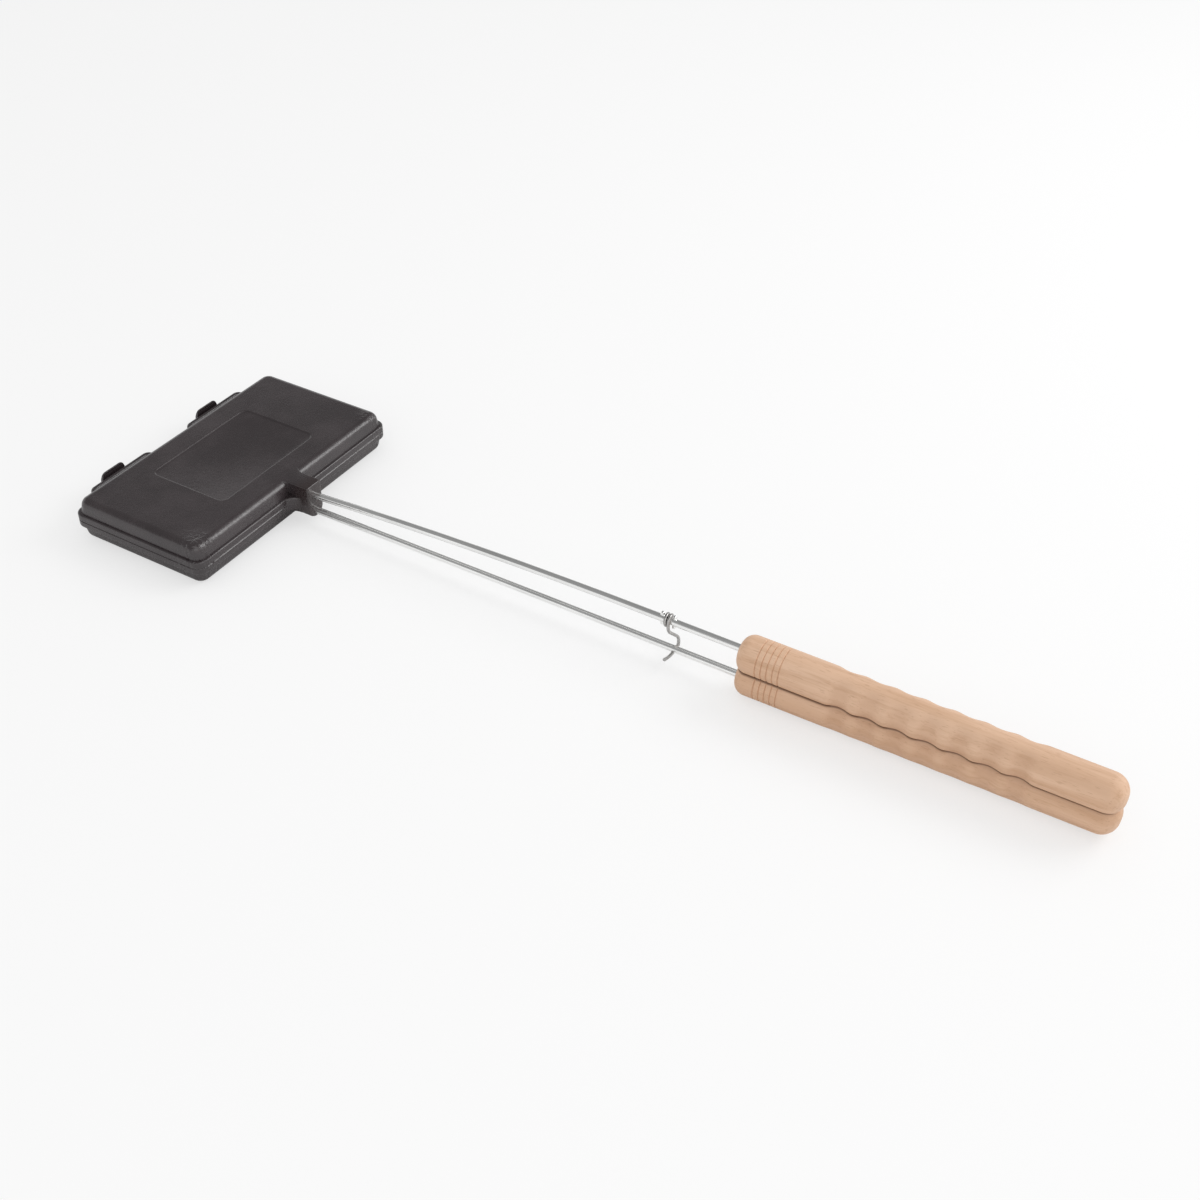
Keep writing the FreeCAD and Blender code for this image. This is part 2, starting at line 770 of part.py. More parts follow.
def strand_edges(start):
    """From the coil down between the rods, then the hook under the lower rod."""
    side = size("strand_side")
    shift = size("strand_shift")
    hook = size("hook_radius")
    lead = math.radians(SIZES["hook_lead_angle"])
    tail = math.radians(SIZES["hook_tail_angle"])
    half = (lead + tail) / 2
    lean = lead - half
    peak = hook / math.cos(half)
    turn_in = V(shift, hook * math.sin(lead), -hook * math.cos(lead))
    meet = (side - turn_in.y) / math.cos(lead)
    turn_out = V(shift, -hook * math.sin(tail), -hook * math.cos(tail))
    points = [
        start,
        start - V(0, 0, size("strand_drop")),
        V(shift, side, -size("strand_cross")),
        V(shift, side, turn_in.z + meet * math.sin(lead)),
        V(shift, peak * math.sin(lean), -peak * math.cos(lean)),
        turn_out + V(0, -math.cos(tail), math.sin(tail)) * size("hook_tail"),
    ]
    bend = size("strand_bend")
    return rounded_run(points, [bend, bend, bend, hook])


def least_self_gap(edges):
    """Least clear space between two parts of the wire more than a half turn apart."""
    step = size("wire_radius / 4")
    points = []
    travelled = []
    so_far = 0
    for edge in edges:
        count = max(2, int(edge.Length / step))
        for i in range(count):
            points.append(edge.valueAt(edge.getParameterByLength(edge.Length * i / count)))
            travelled.append(so_far + edge.Length * i / count)
        so_far += edge.Length
    apart = math.pi * size("coil_radius")
    least = min((points[i] - points[j]).Length
                for i in range(len(points)) for j in range(i)
                if travelled[i] - travelled[j] > apart)
    return least - size("wire_diameter")


def make_latch(name):
    """The wire latch, from the axis of the upper rod."""
    edges, leaving = coil_edges()
    edges += strand_edges(leaving)
    path = Part.Wire(edges)
    start = edges[0].valueAt(edges[0].FirstParameter)
    heading = edges[0].tangentAt(edges[0].FirstParameter)
    section = Part.Wire(Part.Circle(start, heading, size("wire_radius")).toShape())
    latch = doc.addObject("Part::Feature", name)
    latch.Label = name
    latch.Shape = path.makePipeShell([section], True, False)
    tie(latch, "Placement.Base.x", "latch_middle")
    tie(latch, "Placement.Base.z", "upper_rod_height")
    radii = [edge.Curve.Radius for edge in edges if hasattr(edge.Curve, "Radius")]
    print("latch wire: least gap to itself %.2f mm" % least_self_gap(edges))
    print("latch wire: tightest bend %.2f mm on the centre line" % min(radii))
    return latch


def turn_over(body):
    """Put a body's outward side downwards."""
    body.Placement = FreeCAD.Placement(V(0, 0, 0), FreeCAD.Rotation(V(1, 0, 0), 180))


fill_sheet()

# Pans and hinges
upper_pan = pan_half("upper_pan", "upper_slope", 1)
lower_pan = pan_half("lower_pan", "lower_slope", -1)
for ending, middle in (("near", "-hinge_spacing / 2"), ("far", "hinge_spacing / 2")):
    add_loop(upper_pan, "upper_pan_loop_" + ending, middle)
    add_tongue(lower_pan, "lower_pan_tongue_" + ending, middle)
turn_over(lower_pan)
place_body(upper_pan, "head_place", "pan_height")
place_body(lower_pan, "head_place", "pan_height")

# Rods
upper_rod = make_rod("upper_rod", "upper_slope", "upper_rise")
add_ears(upper_rod, "upper_rod_ears", "upper_rise")
place_body(upper_rod, "head_place + neck_end", "pan_height + rod_neck_height")
lower_rod = make_rod("lower_rod", "lower_slope", "lower_rise")
place_body(lower_rod, "head_place + neck_end", "pan_height - rod_neck_height")

# Handles
upper_handle = make_handle("upper_handle")
place_body(upper_handle, "handle_front", "handle_height + handle_gap")
lower_handle = make_handle("lower_handle")
turn_over(lower_handle)
place_body(lower_handle, "handle_front", "handle_height")

# Latch
latch_wire = make_latch("latch_wire")
doc.recompute()

# Nothing is written unless every feature and shape is sound
pieces = [upper_pan, lower_pan, upper_rod, lower_rod, upper_handle, lower_handle, latch_wire]
for thing in doc.Objects:
    if "Invalid" in thing.State or "Error" in thing.State:
        raise RuntimeError(thing.Name + " could not be worked out")
for piece in pieces:
    shape = piece.Shape
    if shape.isNull() or not shape.isValid() or len(shape.Solids) != 1:
        raise RuntimeError(piece.Label + " is not one sound solid")
    print("%s: %.0f mm3" % (piece.Label, shape.Volume))

os.makedirs("parts", exist_ok=True)
for piece in pieces:
    piece.Shape.exportStep("parts/%s.step" % piece.Label)
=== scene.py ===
import math
from collections import namedtuple

import bmesh
import bpy
from mathutils import Matrix, Vector


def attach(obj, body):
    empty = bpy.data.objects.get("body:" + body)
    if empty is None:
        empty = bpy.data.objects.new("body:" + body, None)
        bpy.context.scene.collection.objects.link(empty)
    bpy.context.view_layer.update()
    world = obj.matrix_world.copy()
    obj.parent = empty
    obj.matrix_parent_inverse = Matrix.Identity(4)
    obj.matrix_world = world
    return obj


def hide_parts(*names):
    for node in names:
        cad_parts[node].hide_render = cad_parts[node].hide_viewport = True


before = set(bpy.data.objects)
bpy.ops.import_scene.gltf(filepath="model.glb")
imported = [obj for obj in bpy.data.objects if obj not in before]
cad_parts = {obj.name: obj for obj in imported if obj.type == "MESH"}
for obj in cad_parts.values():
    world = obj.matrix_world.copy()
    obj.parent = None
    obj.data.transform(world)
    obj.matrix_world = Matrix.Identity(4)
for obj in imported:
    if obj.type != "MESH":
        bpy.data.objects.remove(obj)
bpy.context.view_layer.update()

MM = 0.001

# Lengths are in millimetres. The head is drawn from the middle of the pans along X, with
# heights outwards from the parting plane; these are the two places in the frame.
HEAD = -288.4
PARTING = 15.6

# Pan: flange, drafted wall and rounded shoulder, from the parting plane outwards
HALF_DEPTH = 57.5
HALF_WIDTH = 103.0
PAN_HEIGHT = 15.6
FLANGE_HEIGHT = 5.2
FLANGE_CORNER = 8.0
FLANGE_EDGE = 1.4
WALL_INSET = 1.6
WALL_CORNER = 7.5
DRAFT = math.radians(9)
SHOULDER = 6.0
CORNER_STEPS = 8
EDGE_STEPS = 4
SHOULDER_STEPS = 12

# Cooking cavity inside the rim, with the edge broken between rim and flange; its corners
# tighten towards the floor by a share of the inset
RIM = 7.0
RIM_BREAK = 0.5
CAVITY_DEPTH = 11.4
CAVITY_DRAFT = math.radians(10)
CAVITY_CORNER = 9.0
CAVITY_TIGHTENING = 0.6
CAVITY_FLOOR = 4.0
CAVITY_STEPS = 6

# Recessed panel on the pan: half depth, half width, corner radius and drop of each ring
PANEL = ((33.9, 49.9, 6.5, 0.0), (33.4, 49.4, 6.2, 0.0), (33.1, 49.1, 6.0, 0.2),
         (32.6, 48.6, 5.7, 0.7), (32.2, 48.2, 5.5, 0.8))

# Necks: end, half width, corner in plan, and how far each starts behind its line
NECK_END = 72.5
NECK_HALF = 7.3
NECK_CORNER = 1.5
NECK_ROOT = 6.0
LOWER_NECK_HEIGHT = 11.1

# Hinge: loops bent from round bar on the upper pan, tongues on the lower one
HINGE_ROOT = 3 - HALF_DEPTH
BAR_PLACE = -66.6
BAR_HEIGHT = 2.9
BAR_RADIUS = 2.1
BAR_PLAY = 0.3
LOOP_MIDDLES = (-48.0, 50.0)
LOOP_LENGTH = 60.0
LOOP_BEND = 3.5
TONGUE_MIDDLES = (-51.7, 46.3)
TONGUE_WIDTH = 21.4
TONGUE_TOP = 8.4
TONGUE_FOOT = -4.5
TONGUE_BACK = -0.5
TONGUE_CORNER = 4.0
TONGUE_STEPS = 24

# Latch, drawn from the upper rod's axis: coil, strand and hook
COIL_PLACE = 66.3
UPPER_AXIS = 32.35
COIL_RADIUS = 3.7
COIL_PITCH = 2.5
COIL_TURNS = 1.5
COIL_STEPS = 36
WIRE_RADIUS = 1.1
STRAND_DROP = 6.0
STRAND_SIDE = 7.5
STRAND_FOOT = -17.5
STRAND_BENDS = (9.0, 9.0, 2.4)
HOOK_SHIFT = 4.3
HOOK_RADIUS = 25.3
HOOK_LEAD = math.radians(12)
HOOK_TAIL = math.radians(22)
HOOK_TIP = 2.1

# Old and new places along X of the upper rod's ears that hold the coil
EARS = ((-400, -400), (55.6, 55.6), (60.4, 60.9), (64.0, 63.1), (72.2, 69.5), (75.8, 71.7),
        (117.0, 117.0))

# Handles: front along X, length, radius and the rise of the flat side from nose to tail
HANDLE_FRONT = 117.6
HANDLE_LENGTH = 239.5
HANDLE_RADIUS = 12.6
FLAT_RISE = 1.9
NOSE_LENGTH = 7.5
NOSE_DROP = 7.0
TAIL_LENGTH = 11.0
RING_PLACES = [14.8 + 3.85 * i for i in range(5)]
RING_DEPTH = 0.6
RING_HALF = 0.5
FINGER_FIRST = 69.4
FINGER_PITCH = 18.65
FINGER_COUNT = 7
FINGER_DEPTH = 1.8
RIDGE_DEPTH = 0.3
FADE_START = 0.3  # share of the hollows' reach round a handle over which they keep their depth

# Sections of the handles: steps round them and across the flat side, the angle left between
# the two, the half angle of the flat side where a section doesn't reach it, how much narrower
# the flat side is than the section, and its least half width
ROUND_STEPS = 64
FLAT_STEPS = 8
EDGE_GAP = 0.09
CLOSED_EDGE = 0.03
FLAT_INSET = 0.8
FLAT_LEAST = 0.02

# Each handle: the side that it lies on (1 above, -1 below), its axis at the nose, the rise of
# the axis, its flat side at the nose, and the degrees above its side that the hollows reach
Handle = namedtuple("Handle", "node body way axis rise flat hollows")
UPPER_HANDLE = Handle("upper_handle", "upper_half", 1, 30.5, 0.0, 22.15, 82)
LOWER_HANDLE = Handle("lower_handle", "lower_half", -1, 12.7, 1.7, 21.55, 60)

# Flow marks by the pans' corners on the neck's side: where they begin and where they are full,
# along Y and along X from the middle of the pans
FLOW_MARKS = ((-74, -94, 30, 50), (78, 98, 36, 52))

# The photograph's camera: degrees, the point that it looks at, and pixels of the picture
CAMERA_AZIMUTH = 29.98
CAMERA_ELEVATION = 39.26
CAMERA_ROLL = 1.15
CAMERA_TARGET = (1.70, 25.51, 2.94)
CAMERA_DISTANCE = 1028.56
CAMERA_FOCUS = 1543.82
PICTURE_WIDTH = 1200
SENSOR_WIDTH = 36

# Strength of the sky: as light, as seen by the camera, and where reflections of it are dark
# and bright
SKY_LIGHT = 0.75
SKY_SEEN = 1.0
SKY_DARK = 0.28
SKY_BRIGHT = 1.0

# The floor, in metres, lies a little below the part so that no faces coincide
FLOOR_HALF = 40.0
FLOOR_HEIGHT = -0.0003


class Nodes:
    """Short calls that add nodes to a tree and join them."""

    def __init__(self, tree):
        self.tree = tree

    def node(self, kind, **settings):
        made = self.tree.nodes.new(kind)
        for key, value in settings.items():
            setattr(made, key, value)
        return made

    def link(self, source, socket):
        self.tree.links.new(source, socket)

    def put(self, socket, value):
        """Give a socket a number, a colour or another socket's result."""
        if isinstance(value, bpy.types.NodeSocket):
            self.link(value, socket)
        elif isinstance(value, (tuple, list)) and len(value) == 3 and socket.type == "RGBA":
            socket.default_value = (*value, 1)
        else:
            socket.default_value = value

    def math(self, kind, a, b=0.0):
        made = self.node("ShaderNodeMath", operation=kind)
        self.put(made.inputs[0], a)
        self.put(made.inputs[1], b)
        return made.outputs[0]

    def spread(self, value, low, high, to_low=0.0, to_high=1.0, smooth=True):
        """Carry a range of values over to another, and hold it at both ends."""
        made = self.node("ShaderNodeMapRange",
                         interpolation_type="SMOOTHSTEP" if smooth else "LINEAR")
        self.put(made.inputs["Value"], value)
        for key, number in (("From Min", low), ("From Max", high),
                            ("To Min", to_low), ("To Max", to_high)):
            made.inputs[key].default_value = number
        return made.outputs["Result"]

    def parts(self, vector):
        """The three coordinates of a vector."""
        made = self.node("ShaderNodeSeparateXYZ")
        self.put(made.inputs[0], vector)
        return made.outputs


class Shader(Nodes):
    """A node material with a Principled surface, built by short calls."""

    def __init__(self, name):
        self.material = bpy.data.materials.new(name)
        self.material.use_nodes = True
        super().__init__(self.material.node_tree)
        self.surface = self.tree.nodes["Principled BSDF"]
        self.output = self.tree.nodes["Material Output"]
        self.place = self.node("ShaderNodeTexCoord").outputs["Object"]

    def set(self, name, value):
        self.put(self.surface.inputs[name], value)

    def scaled(self, x, y, z, source=None):
        """Object coordinates, or another vector, multiplied along each axis."""
        mapping = self.node("ShaderNodeMapping")
        self.put(mapping.inputs["Vector"], source or self.place)
        mapping.inputs["Scale"].default_value = (x, y, z)
        return mapping.outputs["Vector"]

    def noise(self, vector, scale, detail=3, roughness=0.5, distortion=0):
        made = self.node("ShaderNodeTexNoise")
        self.put(made.inputs["Vector"], vector)
        made.inputs["Scale"].default_value = scale
        made.inputs["Detail"].default_value = detail
        made.inputs["Roughness"].default_value = roughness
        made.inputs["Distortion"].default_value = distortion
        return made.outputs["Fac"]

    def cells(self, vector, scale):
        made = self.node("ShaderNodeTexVoronoi")
        self.put(made.inputs["Vector"], vector)
        made.inputs["Scale"].default_value = scale
        return made.outputs["Distance"]

    def mix(self, share, a, b):
        made = self.node("ShaderNodeMix", data_type="RGBA")
        self.put(made.inputs["Factor"], share)
        self.put(made.inputs[6], a)
        self.put(made.inputs[7], b)
        return made.outputs[2]

    def bump(self, height, strength, distance, under=None):
        """Normals of a relief, whose distance is in metres, over those of another one."""
        made = self.node("ShaderNodeBump")
        made.inputs["Strength"].default_value = strength
        made.inputs["Distance"].default_value = distance
        self.put(made.inputs["Height"], height)
        if under:
            self.link(under, made.inputs["Normal"])
        return made.outputs["Normal"]


def iron_material():
    """Seasoned cast iron: sand-cast grain, faint mottling, a browner neck and flow marks."""
    s = Shader("seasoned_iron")
    broad = s.noise(s.place, 22, 4, 0.6)
    grain = s.noise(s.place, 900, 3, 0.6)
    pits = s.cells(s.place, 420)
    dark = (0.025, 0.0182, 0.0200)
    pale = (0.040, 0.0300, 0.0325)
    brown = (0.024, 0.012, 0.010)
    along, across, _ = s.parts(s.place)
    edge = HEAD + HALF_DEPTH
    neck = s.spread(along, (edge - 2) * MM, (edge + 12) * MM)
    colour = s.mix(s.spread(broad, 0.35, 0.68), dark, pale)
    s.set("Base Color", s.mix(s.math("MULTIPLY", neck, 0.5), colour, brown))
    s.set("Roughness", s.math("ADD", s.spread(grain, 0.3, 0.7, 0.21, 0.34),
                              s.spread(broad, 0.3, 0.7, -0.03, 0.05)))
    s.set("Specular IOR Level", 0.75)
    skin = s.bump(grain, 0.36, 0.12 * MM)
    skin = s.bump(pits, 0.2, 0.25 * MM, skin)
    corners = [s.math("MULTIPLY", s.spread(across, side * MM, full_side * MM),
                      s.spread(along, (HEAD + front) * MM, (HEAD + full_front) * MM))
               for side, full_side, front, full_front in FLOW_MARKS]
    ripple = s.noise(s.scaled(260, 380, 90), 1, 2, 0.5, 0.6)
    marks = s.math("MULTIPLY", ripple, s.math("ADD", *corners))
    s.set("Normal", s.bump(marks, 0.9, 1.6 * MM, skin))
    return s.material


def plated_material(name, tone, rough):
    """Bright plated steel with faint drawing lines along the rod."""
    s = Shader(name)
    lines = s.noise(s.scaled(6, 420, 420), 1, 3, 0.6)
    cloud = s.noise(s.scaled(12, 60, 60), 1, 2)
    dull = [c * 0.86 for c in tone]
    s.set("Base Color", s.mix(s.spread(cloud, 0.35, 0.7), tone, dull))
    s.set("Metallic", 1.0)
    s.set("Roughness", s.spread(lines, 0.3, 0.7, rough, rough + 0.12))
    s.set("Normal", s.bump(lines, 0.10, 0.08 * MM))
    return s.material


def wood_material(name, seed, handle):
    """Sanded pale hardwood with grain and flecks, with painted shade in the hollows and along the
    join of the handles.
    """
    s = Shader(name)
    moved = s.node("ShaderNodeVectorMath", operation="ADD")
    s.put(moved.inputs[0], s.place)
    moved.inputs[1].default_value = (seed * 0.37, seed * 0.11, seed * 0.23)
    place = moved.outputs[0]
    broad = s.noise(s.scaled(5, 55, 55, place), 1, 3, 0.55, 0.4)
    fibre = s.noise(s.scaled(45, 1500, 1500, place), 1, 3, 0.7)
    streak = s.noise(s.scaled(14, 330, 330, place), 1, 4, 0.65, 0.3)
    fleck = s.noise(s.scaled(160, 1500, 1500, place), 1, 1, 0.5)
    pale = (0.76, 0.51, 0.35)
    warm = (0.64, 0.40, 0.255)
    colour = s.mix(s.spread(broad, 0.32, 0.70), pale, warm)
    colour = s.mix(s.spread(streak, 0.45, 0.72, 0.0, 0.42), colour, (0.50, 0.28, 0.15))
    colour = s.mix(s.spread(fleck, 0.60, 0.74, 0.0, 0.35), colour, (0.40, 0.21, 0.11))

    # Painted shade in the finger hollows, which lie nearer to the axis than the turned surface
    # does; the ends are left out
    x, y, z = s.parts(s.place)
    share = s.spread(x, HANDLE_FRONT * MM, (HANDLE_FRONT + HANDLE_LENGTH) * MM, smooth=False)
    lift = s.math("SUBTRACT", s.math("SUBTRACT", z, handle.axis * MM),
                  s.math("MULTIPLY", share, handle.rise * MM))
    radius = s.math("SQRT", s.math("ADD", s.math("POWER", y, 2), s.math("POWER", lift, 2)))
    sunk = s.spread(radius, (HANDLE_RADIUS - 1.9) * MM, (HANDLE_RADIUS - 0.05) * MM, 1, 0)
    body = s.math("MULTIPLY", s.spread(share, 0.045, 0.055), s.spread(share, 0.93, 0.90))
    hollow = s.math("MULTIPLY", s.math("MULTIPLY", sunk, body), 0.16)
    colour = s.mix(hollow, colour, (0.36, 0.17, 0.085))

    # Painted shade along the join of the two handles: the edges by it are darker, but not the
    # flat side between them
    level = s.math("SUBTRACT", s.math("SUBTRACT", z, handle.flat * MM),
                   s.math("MULTIPLY", share, FLAT_RISE * MM))
    seam_shade = s.spread(s.math("ABSOLUTE", level), 0.4 * MM, 1.3 * MM, 0.8, 0)
    brink = s.spread(s.math("ABSOLUTE", y), 5.5 * MM, 7.0 * MM)
    colour = s.mix(s.math("MULTIPLY", seam_shade, brink), colour, (0.16, 0.075, 0.04))
    s.set("Base Color", colour)
    s.set("Roughness", s.spread(fibre, 0.3, 0.7, 0.48, 0.62))
    s.set("Normal", s.bump(fibre, 0.16, 0.1 * MM))
    return s.material


def floor_material():
    """A white floor that shows the object's shadow and nothing else."""
    s = Shader("floor_white")
    s.set("Base Color", (0.90, 0.90, 0.90))
    s.set("Roughness", 0.9)
    s.set("Specular IOR Level", 0.0)
    white = s.node("ShaderNodeEmission")
    path = s.node("ShaderNodeLightPath")
    both = s.node("ShaderNodeMixShader")
    s.put(both.inputs[0], s.math("MULTIPLY", path.outputs["Is Camera Ray"], 0.6))
    s.link(s.surface.outputs[0], both.inputs[1])
    s.link(white.outputs[0], both.inputs[2])
    s.link(both.outputs[0], s.output.inputs["Surface"])
    return s.material


def dress(node, material):
    """Give a CAD node one material."""
    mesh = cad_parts[node].data
    mesh.materials.clear()
    mesh.materials.append(material)


def make_piece(name, points, faces, material, body, sharp=35):
    """A closed mesh from points in millimetres that moves with a body, smooth but for its
    sharp edges."""
    mesh = bpy.data.meshes.new(name)
    mesh.from_pydata([tuple(c * MM for c in point) for point in points], [], faces)
    mesh.validate()
    made = bpy.data.objects.new(name, mesh)
    bpy.context.scene.collection.objects.link(made)
    turn_outwards(mesh)
    mesh.materials.append(material)
    mesh.polygons.foreach_set("use_smooth", [True] * len(mesh.polygons))
    mesh.set_sharp_from_angle(angle=math.radians(sharp))
    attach(made, body)
    return made


def turn_outwards(mesh):
    """Make every face of a closed mesh look outwards."""
    work = bmesh.new()
    work.from_mesh(mesh)
    bmesh.ops.recalc_face_normals(work, faces=work.faces)
    work.to_mesh(mesh)
    work.free()


def bridge(rings):
    """Quads between rings of equal length, with a face over each end."""
    count = len(rings[0])
    points = [point for ring in rings for point in ring]
    faces = []
    for i in range(len(rings) - 1):
        for j in range(count):
            k = (j + 1) % count
            faces.append((i * count + j, i * count + k, (i + 1) * count + k, (i + 1) * count + j))
    faces.append(tuple(range(count))[::-1])
    faces.append(tuple((len(rings) - 1) * count + j for j in range(count)))
    return points, faces


def join_parts(parts):
    """Several lists of rings as one list of points and faces."""
    points = []
    faces = []
    for rings in parts:
        more, sides = bridge(rings)
        faces += [tuple(index + len(points) for index in side) for side in sides]
        points += more
    return points, faces


def round_rectangle(half_x, half_y, radius):
    """Points of a rectangle with round corners, from the +X side round by +Y."""
    points = []
    for i, (sx, sy) in enumerate(((1, 1), (-1, 1), (-1, -1), (1, -1))):
        for j in range(CORNER_STEPS + 1):
            angle = (i + j / CORNER_STEPS) * math.pi / 2
            points.append((sx * (half_x - radius) + radius * math.cos(angle),
                           sy * (half_y - radius) + radius * math.sin(angle)))
    return points


def arc_points(centre_x, centre_y, radius, start, stop, steps):
    """Points of an arc from one angle to another, in degrees."""
    made = []
    for i in range(steps + 1):
        angle = math.radians(start + (stop - start) * i / steps)
        made.append((centre_x + radius * math.cos(angle), centre_y + radius * math.sin(angle)))
    return made


def tube(path, radius, sides):
    """Rings round a path of points, carried along without twist."""
    path = [Vector(point) for point in path]
    across = None
    rings = []
    for i, point in enumerate(path):
        before = path[max(i - 1, 0)]
        after = path[min(i + 1, len(path) - 1)]
        heading = (after - before).normalized()
        if across is None:
            across = heading.orthogonal().normalized()
        across = (across - heading * across.dot(heading)).normalized()
        other = heading.cross(across)
        ring = []
        for j in range(sides):
            angle = 2 * math.pi * j / sides
            ring.append(tuple(point + (across * math.cos(angle) + other * math.sin(angle))
                              * radius))
        rings.append(ring)
    return rings


def rounded_run(points, radii, steps):
    """Points along straight runs whose inner corners are rounded."""
    points = [Vector(point) for point in points]
    made = [points[0]]
    for i, radius in enumerate(radii):
        corner = points[i + 1]
        inward = (corner - points[i]).normalized()
        outward = (points[i + 2] - corner).normalized()
        turn = inward.angle(outward)
        reach = radius * math.tan(turn / 2)
        centre = corner + (outward - inward).normalized() * radius / math.cos(turn / 2)
        first = corner - inward * reach - centre
        normal = inward.cross(outward).normalized()
        for j in range(steps + 1):
            made.append(centre + Matrix.Rotation(turn * j / steps, 3, normal) @ first)
    made.append(points[-1])
    return made


def pan_profile():
    """Inset, corner radius and height of each ring from the cavity floor round to the top,
    and the inset at which the top begins."""
    rows = []

    # Rounded foot of the cavity, then the rim
    lean = CAVITY_DRAFT
    reach = CAVITY_FLOOR * math.tan((math.pi / 2 - lean) / 2)
    floor_inset = RIM + CAVITY_DEPTH * math.tan(lean) + reach
    for i in range(CAVITY_STEPS + 1):
        angle = math.pi / 2 - (math.pi / 2 - lean) * i / CAVITY_STEPS
        inset = floor_inset - CAVITY_FLOOR * math.cos(angle)
        rows.append((inset, CAVITY_CORNER - (inset - RIM) * CAVITY_TIGHTENING,
                     CAVITY_DEPTH - CAVITY_FLOOR * (1 - math.sin(angle))))
    rows.append((RIM, CAVITY_CORNER, 0.0))
    rows.append((RIM_BREAK, FLANGE_CORNER - RIM_BREAK, 0.0))
    rows.append((0.0, FLANGE_CORNER, RIM_BREAK))

    # Flange with a rounded outer edge
    for i in range(EDGE_STEPS + 1):
        angle = math.pi / 2 * i / EDGE_STEPS
        inset = FLANGE_EDGE * (1 - math.cos(angle))
        rows.append((inset, FLANGE_CORNER - inset,
                     FLANGE_HEIGHT - FLANGE_EDGE * (1 - math.sin(angle))))

    # Drafted wall, with a ring just below the shoulder, and the shoulder
    foot = WALL_INSET + FLANGE_HEIGHT / 2 * math.tan(DRAFT)
    rows.append((foot, WALL_CORNER, FLANGE_HEIGHT))
    top_inset = (WALL_INSET + (PAN_HEIGHT - FLANGE_HEIGHT / 2) * math.tan(DRAFT)
                 + SHOULDER * math.tan((math.pi / 2 - DRAFT) / 2))
    start = top_inset - SHOULDER * math.cos(DRAFT)
    level = PAN_HEIGHT - SHOULDER * (1 - math.sin(DRAFT))
    below = 0.4
    rows.append((start - below * math.tan(DRAFT), WALL_CORNER, level - below))
    for i in range(SHOULDER_STEPS + 1):
        angle = DRAFT + (math.pi / 2 - DRAFT) * i / SHOULDER_STEPS
        inset = top_inset - SHOULDER * math.cos(angle)
        rows.append((inset, WALL_CORNER - (inset - start),
                     PAN_HEIGHT - SHOULDER * (1 - math.sin(angle))))
    rows.append((top_inset + 0.4, 0.7, PAN_HEIGHT))
    return rows, top_inset


def pan_rings():
    """Rings of a pan's shell, from the cavity floor to the panel, and the top's inset."""
    rows, top_inset = pan_profile()
    sections = [(HALF_DEPTH - inset, HALF_WIDTH - inset, radius, height)
                for inset, radius, height in rows]
    sections += [(half_x, half_y, radius, PAN_HEIGHT - drop)
                 for half_x, half_y, radius, drop in PANEL]
    rings = [[(x, y, height) for x, y in round_rectangle(half_x, half_y, radius)]
             for half_x, half_y, radius, height in sections]
    return rings, top_inset


def neck_outline(line, flare, half, end, inset):
    """Plan of a neck that widens in an arc up to a line across the pan, drawn in by an inset."""
    side = [(line - NECK_ROOT, half + flare)]
    side += arc_points(line + flare, half + flare, flare + inset, 180, 270, 8)
    turn = max(NECK_CORNER - inset, 0.1)
    side += arc_points(end - inset - turn, half - inset - turn, turn, 90, 0, 5)
    return side + [(x, -y) for x, y in reversed(side)]


def neck_rings(line, flare, height, edge, half=NECK_HALF, end=NECK_END):
    """A flat-topped neck or flare plate with a rounded upper edge."""
    rings = [[(x, y, 0.0) for x, y in neck_outline(line, flare, half, end, 0.0)]]
    for i in range(EDGE_STEPS + 1):
        angle = math.pi / 2 * i / EDGE_STEPS
        inset = edge * (1 - math.cos(angle))
        level = height - edge * (1 - math.sin(angle))
        rings.append([(x, y, level) for x, y in neck_outline(line, flare, half, end, inset)])
    return rings


def round_neck_rings():
    """The lower neck: straight sides and a round outer side, with a softened end."""
    rings = []
    for x, inset in ((HALF_DEPTH - RIM, 0.0), (NECK_END - 1.2, 0.0), (NECK_END - 0.35, 0.35),
                     (NECK_END, 1.2)):
        half = NECK_HALF - inset
        arc = arc_points(0, LOWER_NECK_HEIGHT - NECK_HALF, half, 0, 180, 16)
        rings.append([(x, half, 0.0), *((x, y, w) for y, w in arc), (x, -half, 0.0)])
    return rings


def loop_rings(middle):
    """One hinge loop, a round bar bent out of the rim and back."""
    reach = LOOP_LENGTH / 2 - BAR_RADIUS
    corners = [(HINGE_ROOT, middle - reach, BAR_HEIGHT), (BAR_PLACE, middle - reach, BAR_HEIGHT),
               (BAR_PLACE, middle + reach, BAR_HEIGHT), (HINGE_ROOT, middle + reach, BAR_HEIGHT)]
    return tube(rounded_run(corners, [LOOP_BEND, LOOP_BEND], steps=8), BAR_RADIUS, sides=20)


def tongue_outline():
    """Side view of a tongue that passes under the bar and turns up outside it."""
    inner = BAR_PLACE - BAR_RADIUS - BAR_PLAY
    points = [(HINGE_ROOT, TONGUE_FOOT), (inner - 1.4, TONGUE_FOOT)]
    points += [(inner - 2.4, -3.4), (inner - 2.5, 2.0), (inner - 2.3, 5.0), (inner - 1.9, 7.0)]
    points += [(inner - 1.4, 8.1), (inner - 0.7, TONGUE_TOP), (inner - 0.1, 8.0), (inner, 6.0)]
    points += [(inner, BAR_HEIGHT)]
    points += arc_points(BAR_PLACE, BAR_HEIGHT, BAR_RADIUS + BAR_PLAY, 190, 350, 10)
    points += [(BAR_PLACE + 4.0, BAR_HEIGHT - 0.6), (BAR_PLACE + 4.2, TONGUE_BACK)]
    points += [(HINGE_ROOT, TONGUE_BACK)]
    return points


